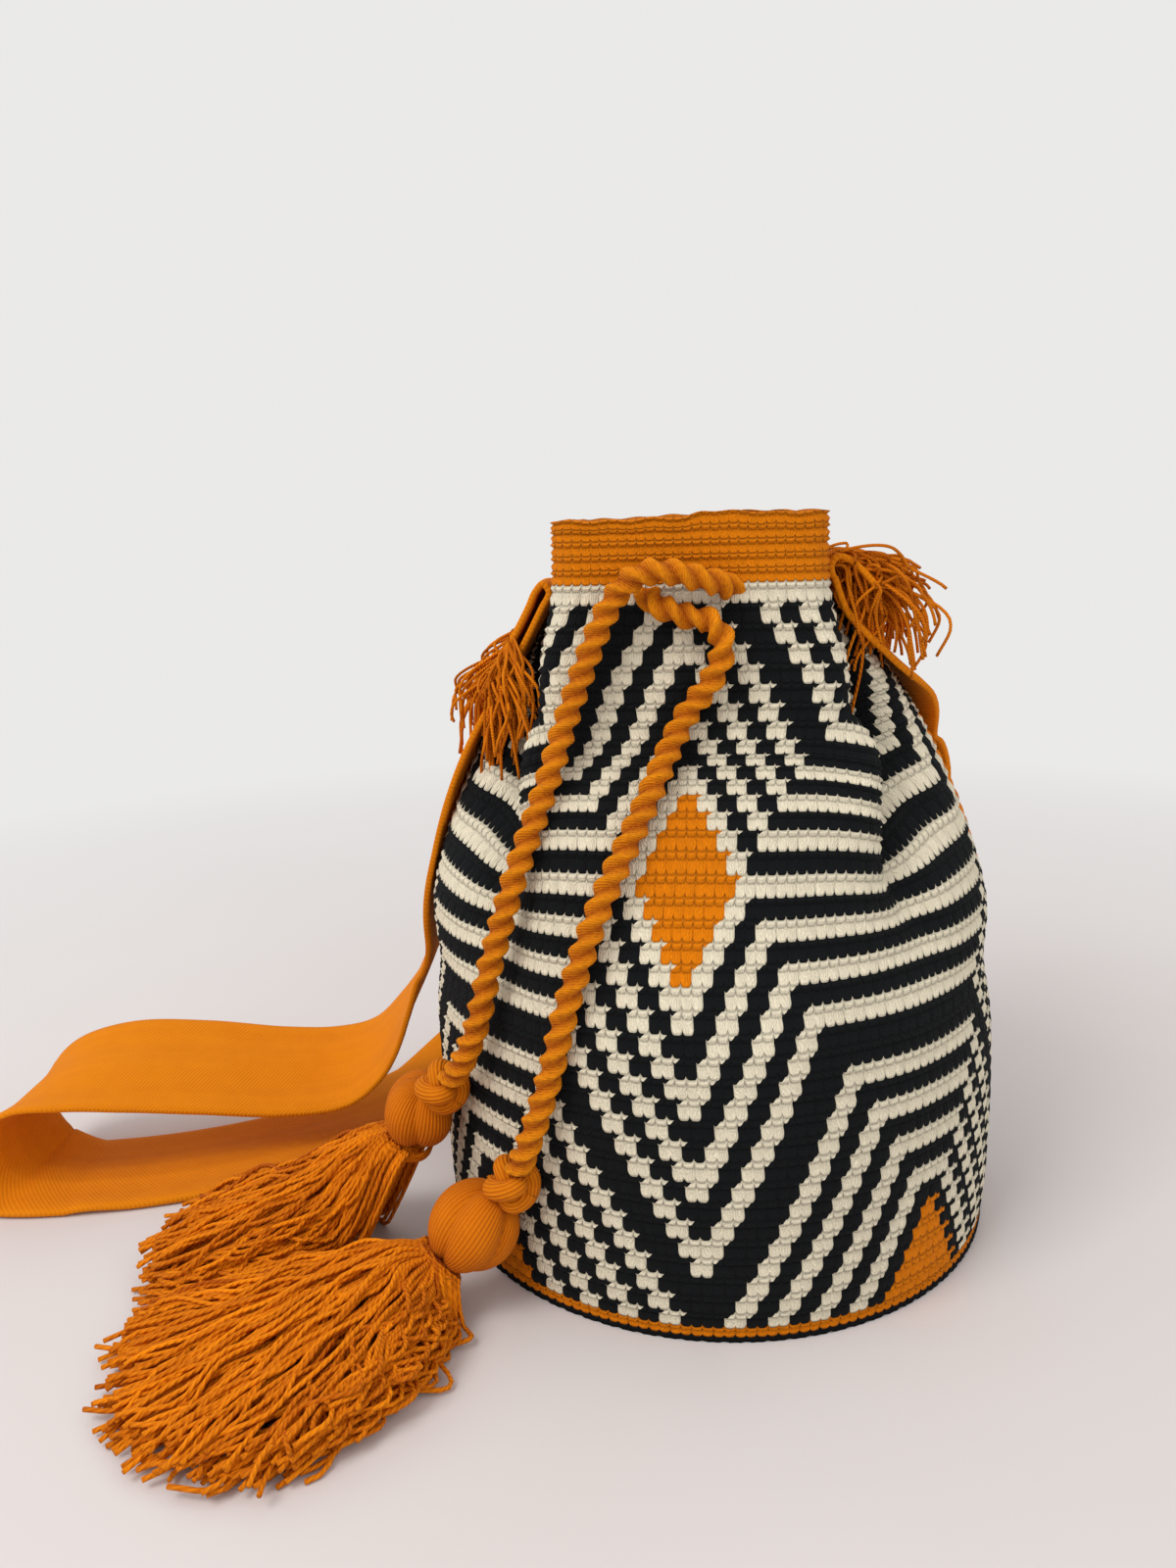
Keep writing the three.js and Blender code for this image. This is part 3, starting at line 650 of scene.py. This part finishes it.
def skirt_lines(neck, down, hung_from, sides, ends, tops, falls, threads, seed):
    """Threads that leave a neck between two ways, bend over and end along an arc."""
    rng = np.random.default_rng(seed)
    arc = evenly(dense_line(np.array(ends) * mm), 200)
    pick = (rng.permutation(threads) + rng.random(threads)) / threads
    at = np.clip(pick + rng.normal(0, 0.035, threads), 0, 1)
    end = np.stack([np.interp(at, np.linspace(0, 1, 201), arc[:, k]) for k in (0, 1)], 1)
    from_cord = end - hung_from[:2]
    furthest = math.sqrt(longest_reach**2 - hung_from[2]**2)
    kept = np.minimum(1, furthest / np.linalg.norm(from_cord, axis=1))
    end = hung_from[:2] + from_cord * kept[:, None]

    # Where each thread leaves the neck, which is flattened under its own weight.
    layer = rng.random(threads) ** 0.7
    sideways = unit(np.cross(down, (0, 0, 1)))
    if sideways @ np.array([*(arc[-1] - arc[0]), 0]) < 0:
        sideways = -sideways
    topwards = np.cross(sideways, down)
    topwards *= np.sign(topwards[2])
    start = (neck + sideways * ((pick - 0.5) * 0.015)[:, None]
             + topwards * ((layer - 0.5) * 0.013)[:, None])

    # Seen from above: out of the neck in a fan, round a bend and on to its end, swaying.
    straight = end - start[:, :2]
    distance = np.linalg.norm(straight, axis=1)
    length = (distance * rng.normal(0.96, 0.035, threads)).clip(0, longest_reach)
    heading = np.radians(sides[0] + (sides[1] - sides[0]) * pick**1.3)
    way = np.stack([np.cos(heading), np.sin(heading)], 1)
    bend = start[:, :2] + way * (0.42 * length)[:, None]
    tip = start[:, :2] + straight * (length / distance)[:, None]
    t = np.linspace(0, 1, 25)[None, :]
    part = t[..., None]
    plan = (start[:, None, :2] * (1 - part)**2 + bend[:, None] * 2 * part * (1 - part)
            + tip[:, None] * part**2)
    onwards = (tip - start[:, :2]) / length[:, None]
    phase = rng.random((threads, 3)) * math.tau
    pace = rng.uniform(1.2, 3.2, (threads, 2))
    sway = rng.normal(0, 0.0019, (threads, 2))
    wander = (sway[:, :1] * np.sin(pace[:, :1] * t * 6.3 + phase[:, :1])
              + sway[:, 1:] * 0.35 * np.sin(pace[:, 1:] * t * 10 + phase[:, 1:2]))
    wander = wander * ease(t * 4) * (1 + t)
    plan = plan + np.stack([-onwards[:, 1], onwards[:, 0]], 1)[:, None] * wander[..., None]

    # Height: each thread settles into its own layer of a heap that thins towards its edges.
    resting, least = 0.0011, 0.00105
    top = np.interp(length[:, None] * t, *(np.array(tops).T * mm))
    top = top * np.sqrt(1 - 0.75 * (2 * pick[:, None] - 1)**2)
    height = resting + (top - resting) * layer[:, None]
    height = height + 0.0009 * np.sin(pace[:, :1] * t * 9 + phase[:, 2:]) * ease(t * 3)
    settle = ease(t * falls)
    z = start[:, 2:] * (1 - settle) + height * settle
    return np.concatenate([plan, np.maximum(z, least)[..., None]], 2)


# In millimetres and degrees. Each hangs from the cord line's point "cord_end", after the
# point "beyond". Its threads leave the neck between two "sides" and end along the arc
# "ends", in a heap whose height by distance from the neck is "tops".
tassels = [
    dict(name="front", cord_end=-1, beyond=-2, hang=(-0.72, -0.08, -0.69), head=31,
         neck=(-97, -101, 17), skirt=dict(
             sides=(172, 285), falls=7, threads=520, seed=7,
             ends=[(-198, -80), (-203, -100), (-201, -118), (-196, -138), (-185, -158),
                   (-164, -176), (-141, -181), (-119, -176), (-107, -158), (-98, -147)],
             tops=[(0, 31), (15, 32), (35, 28), (55, 22), (75, 16), (95, 10), (125, 3)])),
    dict(name="rear", cord_end=0, beyond=1, hang=(-0.55, 0.5, -0.67), head=28,
         neck=(-118, -55.5, 31), skirt=dict(
             sides=(165, 222), falls=2.6, threads=330, seed=11,
             ends=[(-178, -34), (-196, -44), (-207, -60), (-209, -78), (-203, -95),
                   (-186, -106)],
             tops=[(0, 51), (12, 50), (25, 43), (45, 33), (65, 23), (85, 14), (110, 4)])),
]
tassel_pieces = []
for tassel in tassels:
    called = "tassel_" + tassel["name"]
    tip = cord_line[tassel["cord_end"]]
    leaving = unit(tip - cord_line[tassel["beyond"]])
    start = tip + leaving * fit
    radius = tassel["head"] * mm / 2
    centre = start + leaving * knot_length + unit(np.array(tassel["hang"])) * (radius + seat)
    down = unit(np.array(tassel["neck"]) * mm - centre)
    mouth = centre + down * (radius - seat)
    knot = knot_of(called + "_plait", start, leaving)
    dress(knot, plaited, called + "_knot")
    head = head_of(called + "_top", centre, down, radius)
    dress(head, wound, called + "_head")
    binding = binding_of(called + "_wrap", mouth, down)
    dress(binding, thread, called + "_binding")
    loose = skirt_lines(mouth, down, tip, **tassel["skirt"])
    skirt = strands(called + "_threads", loose, thread_radius)
    dress(skirt, thread, called + "_skirt")
    tassel_pieces += [knot, head, binding, skirt]


# The strap: one long band woven on a narrow loom in a close diagonal weave, its ends
# turned over and sewn to the two sides of the neck. It lies out to the left in a loop and
# comes back round behind the bag.
strap_width, strap_thick = 0.056, 0.0026
strap_gap = (fit + strap_thick / 2) / mm


def beside_neck(z, side, gap=0.0):
    """The place across, in millimetres, of a strap that lies beside the neck."""
    x = bag_skin(np.full(steps_round, z * mm), np.arange(steps_round))[:, 0] / mm
    return side * (side * x).max() + side * (strap_gap + gap)


# Place and facing at each point, in millimetres, from the left seam to the right one.
left_top, right_top, fold = 245, 251, 2.9
strap_route = np.array([
    (beside_neck(218, -1, 6.6), 0, 218, 0.85, 0, -0.45),
    (beside_neck(229, -1, 6.4), 0, 229, 0.88, 0, -0.4),
    (beside_neck(238, -1, 6), 0, 238, 0.95, 0, -0.25),
    (beside_neck(245, -1, 2.1 * fold), 0, left_top - 2, 1, 0, 0),
    (beside_neck(245, -1, 1.1 * fold), 0, left_top + 0.9, 0, 0, -1),
    (beside_neck(245, -1, 0.9), 0, left_top - 2, -1, 0, 0),
    (beside_neck(238, -1, 1.2), 0, 237.5, -0.95, 0, 0.2),
    (beside_neck(226, -1, 1.2), 0, 226, -0.85, 0, 0.5),
    (beside_neck(213, -1, 1), 0.5, 213, -0.8, 0, 0.6),
    (beside_neck(190, -1, 0.9), 1.5, 190, -0.88, 0, 0.45),
    (beside_neck(170, -1, 1), 4, 170, -0.93, 0, 0.3),
    (beside_neck(148, -1, 1.2), 8, 148, -0.98, 0, 0.15),
    (beside_neck(126, -1, 3), 14, 126, -1, 0, 0),
    (-116, 24, 106, -1, 0, 0.05), (-121.5, 32, 88, -0.97, 0, 0.2),
    (-131, 35, 66, -0.9, -0.1, 0.42),
    (-140.5, 35.5, 49, -0.78, -0.2, 0.58), (-151, 34, 36.5, -0.6, -0.25, 0.76),
    (-167, 29.5, 29.8, -0.15, -0.3, 0.94), (-190, 21, 31.2, 0.06, -0.3, 0.95),
    (-222, 8, 38.8, 0.2, -0.28, 0.94), (-250, -3.5, 44, 0.1, -0.27, 0.95),
    (-271, -12, 43.5, -0.2, -0.2, 0.95), (-287, -18.5, 36.5, -0.7, -0.05, 0.6),
    (-294.5, -22, 25, -1, 0.15, 0.15), (-292, -24.5, 12, -0.9, 0.2, -0.5),
    (-282, -25, 3.8, -0.4, 0.1, -0.9), (-264, -22.5, 1.6, 0, 0, -1),
    (-240, -16.5, 1.6, 0, 0, -1), (-216, -7.5, 1.6, 0, 0, -1), (-192, 5, 1.6, 0, 0, -1),
    (-168, 22, 1.6, 0, 0, -1), (-149, 42, 1.6, 0, 0, -1), (-133, 65, 1.8, 0, 0, -1),
    (-117, 90, 5, -0.1, 0.16, -0.97), (-94, 112, 18, -0.32, 0.5, -0.8),
    (-65, 124, 36, -0.36, 0.8, -0.45), (-31, 122, 57, -0.22, 0.95, -0.15),
    (5, 117, 79, 0.03, 1, 0), (38, 108, 102, 0.36, 0.93, 0.05), (63, 91, 126, 0.6, 0.8, 0.08),
    (77, 69, 148, 0.8, 0.58, 0.12), (81, 47, 170, 0.86, 0.5, 0.15),
    (72, 34.5, 191, 0.84, 0.5, 0.25),
    (beside_neck(212, 1, 0.8), 18, 211, 0.8, 0.33, 0.5),
    (beside_neck(226, 1, 1.8), 5, 226, 0.85, 0.1, 0.45),
    (beside_neck(238, 1, 1.2), 0, 238.5, 0.95, 0, 0.25),
    (beside_neck(244, 1, 0.4), 0, right_top - 5, 1, 0, 0),
    (beside_neck(251, 1, 1), 0, right_top - 0.6, 0.8, 0, -0.3),
    (beside_neck(251, 1, 3.4), 0, right_top + 2.2, 0.1, 0, -1),
    (beside_neck(251, 1, 7), 0, right_top + 1.2, -0.4, 0, -0.9),
    (beside_neck(251, 1, 12), 0, right_top - 3, -0.62, 0, -0.78),
    (beside_neck(251, 1, 17), 0, right_top - 8.6, -0.68, 0, -0.73),
])
strap_line, facing = np.hsplit(dense_line(strap_route * mm, 8), 2)
strap_along = unit(np.gradient(strap_line, axis=0))
breadth = unit(np.cross(strap_along, facing))
facing = np.cross(breadth, strap_along)
strap_run = run_of(strap_line)
strap_length = float(strap_run[-1])
last = len(strap_line) - 1

# The ripple lifts and sinks the band, so that it is laid that much above the floor.
ripple_height, above_floor = 0.0004, 0.0007
lowest = strap_line[:, 2] - np.abs(breadth[:, 2]) * strap_width / 2 - strap_thick / 2
strap_line[:, 2] += np.maximum(0, above_floor - lowest)

# The band's section, as shares of half its width and half its thickness.
half_section = [(-1 + k / 10, 1.0) for k in range(21)] + [(1.012, 0.55), (1.012, -0.55)]
section = np.array(half_section + [(-a, -b) for a, b in half_section])
section[:, 1] *= np.where(np.abs(section[:, 0]) > 0.93, 0.82, 1)
section = np.vstack([section, section[:1]])


def strap_place(i, j):
    k = np.clip(j - 1, 0, last)
    a, b = section[i, 0], np.where((j == 0) | (j == last + 2), 0, section[i, 1])
    ripple = ripple_height * np.sin(a * 5 + 2 * np.sin(strap_run[k] * 21)) * (1 - a * a)
    return (strap_line[k] + breadth[k] * (a * strap_width / 2)[:, None]
            + facing[k] * (b * strap_thick / 2 + ripple)[:, None])


def strap_lay(i, j):
    return section[i, 0] * 0.5 + 0.5, strap_run[np.clip(j - 1, 0, last)] / strap_length


strap = worked_skin("strap_band", len(section) - 1, last + 2, strap_place, strap_lay)
twill = Finish("woven_strap", 0.8, 0.01)
u, v = twill.lay()
across = u * (strap_width / mm)
length = v * (strap_length / mm)
diagonal = (across * 0.42 + length * 0.62).ribs()
warp = (across * 1.1).ribs()
# Painted shade: soft lighter and darker streaks run along the band, as where its low ridges
# catch the light and fall into shade.
ridge_shading_bands = twill.noise(twill.vector(u * 7, v * 3), 1.0, 3)
patch = twill.noise(twill.here(), 120, 3)
share = (diagonal * 0.24 + warp * 0.1 + ridge_shading_bands * 0.55 + patch * 0.25 - 0.12).held()
twill.colour(twill.mix(share, dyed("C46900"), dyed("EE8F04")))
twill.bump(diagonal * 0.6 + warp * 0.3, 0.0004, 0.6)
dress(strap, twill, "strap")


# The fringes: the loose warp ends of the strap, left uncut beyond the turned-over ends.
# The left one hangs in front of the pleat, the right one stands out and droops.
fringe_radius, fringe_sides = 0.0006, 5
front_reach = 0.037
off_left, off_right = 0.0016, 0.0015
rng = np.random.default_rng(21)
t = np.linspace(0, 1, 20)[None, :]

threads = 190
pick = rng.random(threads)
goal_y = np.interp(pick, [0, 0.3, 0.62, 0.85, 1], [27, 5, -24, -33, -37]) * mm
wrap = np.interp(pick, [0, 0.5, 0.62, 0.85, 1], [0, 0, 1, 8, 17]) * mm
begin = rng.integers(0, 9, threads)
across_at = np.clip(goal_y / front_reach, -1, 1) * np.sign(breadth[0][1])
first = strap_line[begin] + breadth[begin] * (across_at * strap_width / 2)[:, None]
first = first + facing[begin] * off_left * np.sign(-facing[begin][:, :1])
out_by = rng.uniform(0.0015, 0.012, threads) + (pick < 0.6) * 0.013 * rng.random(threads)
drop = rng.uniform(0.016, 0.047, threads)
curl = rng.normal(0, 0.0026, (threads, 2))
phase = rng.random((threads, 2)) * math.tau
pace = rng.uniform(2, 7, (threads, 2))
curling = curl[:, None] * np.sin(pace[:, None] * t[..., None] + phase[:, None])
curling = curling * ease(2 * t)[..., None]
left_lines = np.stack([
    first[:, :1] + (wrap - out_by)[:, None] * ease(t * 1.3) + curling[..., 0],
    first[:, 1:2] + (goal_y - first[:, 1])[:, None] * ease(t * 1.5) + curling[..., 1],
    first[:, 2:] - drop[:, None] * t**1.2], 2)
fringe_left = strands("strap_fringe_left_threads", left_lines, fringe_radius, fringe_sides)
dress(fringe_left, thread, "strap_fringe_left")

threads = 260
long_ends = slice(0, 12)
begin = last - rng.integers(0, 34, threads)
across_at = rng.uniform(-1, 1, threads)
first = strap_line[begin] + breadth[begin] * (across_at * strap_width / 2)[:, None]
first = first + facing[begin] * off_right * rng.choice([-1, 1], threads)[:, None]
out_by = rng.uniform(-0.002, 0.027, threads)
out_by[long_ends] = -0.002
drop = rng.uniform(0.004, 0.036, threads)
drop[long_ends] = rng.uniform(0.05, 0.084, 12)
curl = rng.normal(0, 0.003, (threads, 2))
phase = rng.random((threads, 2)) * math.tau
curling = curl[:, None] * np.sin(t[..., None] * (7, 6) + phase[:, None])
curling = curling * ease(2 * t)[..., None]
arch = 0.004 * np.sin(t * 3.1) * across_at[:, None]**2
right_lines = np.stack([
    first[:, :1] + out_by[:, None] * np.sin(t * 1.5) + curling[..., 0],
    first[:, 1:2] * (1 + 0.1 * t) + curling[..., 1],
    first[:, 2:] + arch - drop[:, None] * t**1.5], 2)
fringe_right = strands("strap_fringe_right_threads", right_lines, fringe_radius, fringe_sides)
dress(fringe_right, thread, "strap_fringe_right")


# The floor, which fades into a backdrop of the same pale grey, and soft daylight from the
# upper left with a weaker light from the right to fill the shade.
bm = bmesh.new()
bmesh.ops.create_grid(bm, x_segments=1, y_segments=1, size=4)
mesh = bpy.data.meshes.new("pale_floor")
bm.to_mesh(mesh)
bm.free()
ground = bpy.data.objects.new("pale_floor", mesh)
bpy.context.scene.collection.objects.link(ground)
backdrop, brightness = (0.97, 0.965, 0.955, 1), 0.85
pale = Finish("pale_floor", 0.5)
cloud = pale.noise(pale.here(), 2.5, 4)
pale.colour(pale.mix(cloud, dyed("CFC8C7"), dyed("DBD5D4")))
distance = pale.add("ShaderNodeVectorMath", dict(operation="LENGTH"), {0: pale.here()})
far_off = ((Wire(pale, distance.outputs["Value"]) - 0.3) * 1.6).held()
glow = pale.add("ShaderNodeEmission", None, {"Color": backdrop, "Strength": brightness})
fading = pale.add("ShaderNodeMixShader", None, {
    0: far_off, 1: pale.shader.outputs[0], 2: glow.outputs[0]})
pale.tree.links.new(fading.outputs[0], pale.tree.nodes["Material Output"].inputs[0])
mesh.materials.append(pale.material)

lit_spot = Vector((-0.05, 0, 0.1))
for name, spot, size, power, tint in (
        ("daylight", (-0.8, -0.9, 1.5), 0.8, 15.5, (1.0, 0.985, 0.96)),
        ("fill", (1.3, -0.8, 0.9), 1.4, 3, (1.0, 0.98, 0.95))):
    lamp = bpy.data.lights.new(name, "AREA")
    lamp.size, lamp.energy, lamp.color = size, power, tint
    holder = bpy.data.objects.new(name, lamp)
    holder.location = spot
    holder.rotation_euler = (lit_spot - Vector(spot)).to_track_quat("-Z", "Y").to_euler()
    bpy.context.scene.collection.objects.link(holder)
world = bpy.data.worlds.new("backdrop")
world.use_nodes = True
world.node_tree.nodes["Background"].inputs[0].default_value = backdrop
world.node_tree.nodes["Background"].inputs[1].default_value = brightness
bpy.context.scene.world = world
